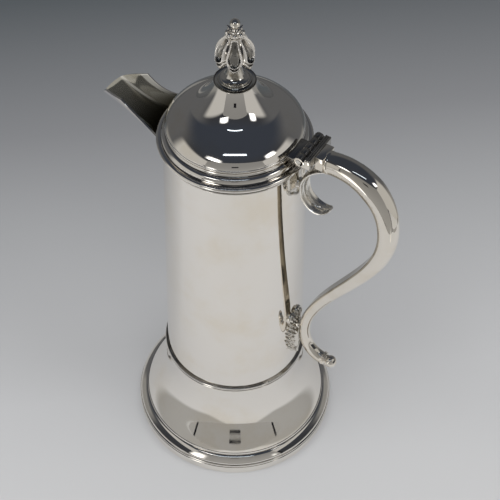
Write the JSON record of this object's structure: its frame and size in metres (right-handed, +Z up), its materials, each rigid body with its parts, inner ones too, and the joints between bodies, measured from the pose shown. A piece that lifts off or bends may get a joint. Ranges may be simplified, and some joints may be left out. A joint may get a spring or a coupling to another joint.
{
  "type": "wine flagon",
  "caption": "Tapering silver flagon on a spreading foot, with a beak spout, a scroll handle and a hinged domed lid with a leaf finial, for keeping and pouring wine.",
  "frame": {"origin": "on the drum's axis, in the plane that the foot stands on", "axes": "+Z up along the drum's axis, +X towards the handle and hinge, -X towards the spout"},
  "size_m": [0.1826, 0.1284, 0.3128],
  "materials": {
    "sheet_silver": "mirror polish with faint smudges",
    "spout_silver": "polished outside, tarnished inside",
    "moulding_silver": "bright polish, darker in the hollows",
    "handle_silver": "mirror polish",
    "cast_silver": "polished high points over darkened grounds",
    "hinge_silver": "worn and darkened polish"
  },
  "bodies": {
    "vessel": {"drum": "sheet_silver", "vessel_floor": "sheet_silver", "girdle_wire": "moulding_silver", "base_skirt": "sheet_silver", "foot_ring": "moulding_silver", "rim_moulding": "moulding_silver", "spout": "spout_silver", "handle_back": "handle_silver", "handle_strip": "handle_silver", "handle_end_plate": "handle_silver", "handle_hinge_leaf": "hinge_silver", "hinge_pin": "hinge_silver", "upper_scroll": "handle_silver", "upper_handle_mount": "cast_silver", "lower_handle_mount": "cast_silver", "tail_bud": "handle_silver"},
    "lid": {"lid_dome": "sheet_silver", "lid_edge": "moulding_silver", "lid_bezel": "sheet_silver", "lid_hinge_leaf": "hinge_silver", "finial_collar": "moulding_silver", "finial_pedestal": "cast_silver", "finial_leaves": "cast_silver", "finial_beads": "cast_silver", "finial_ball": "cast_silver", "finial_stud": "hinge_silver", "finial_nut": "hinge_silver"}
  },
  "joints": [
    {"name": "lid_hinge", "type": "hinge", "parent": "vessel", "child": "lid", "pos_m": [0.0436, 0, 0.2514], "axis": [0, 1, 0], "range_deg": [0, 100]}
  ]
}
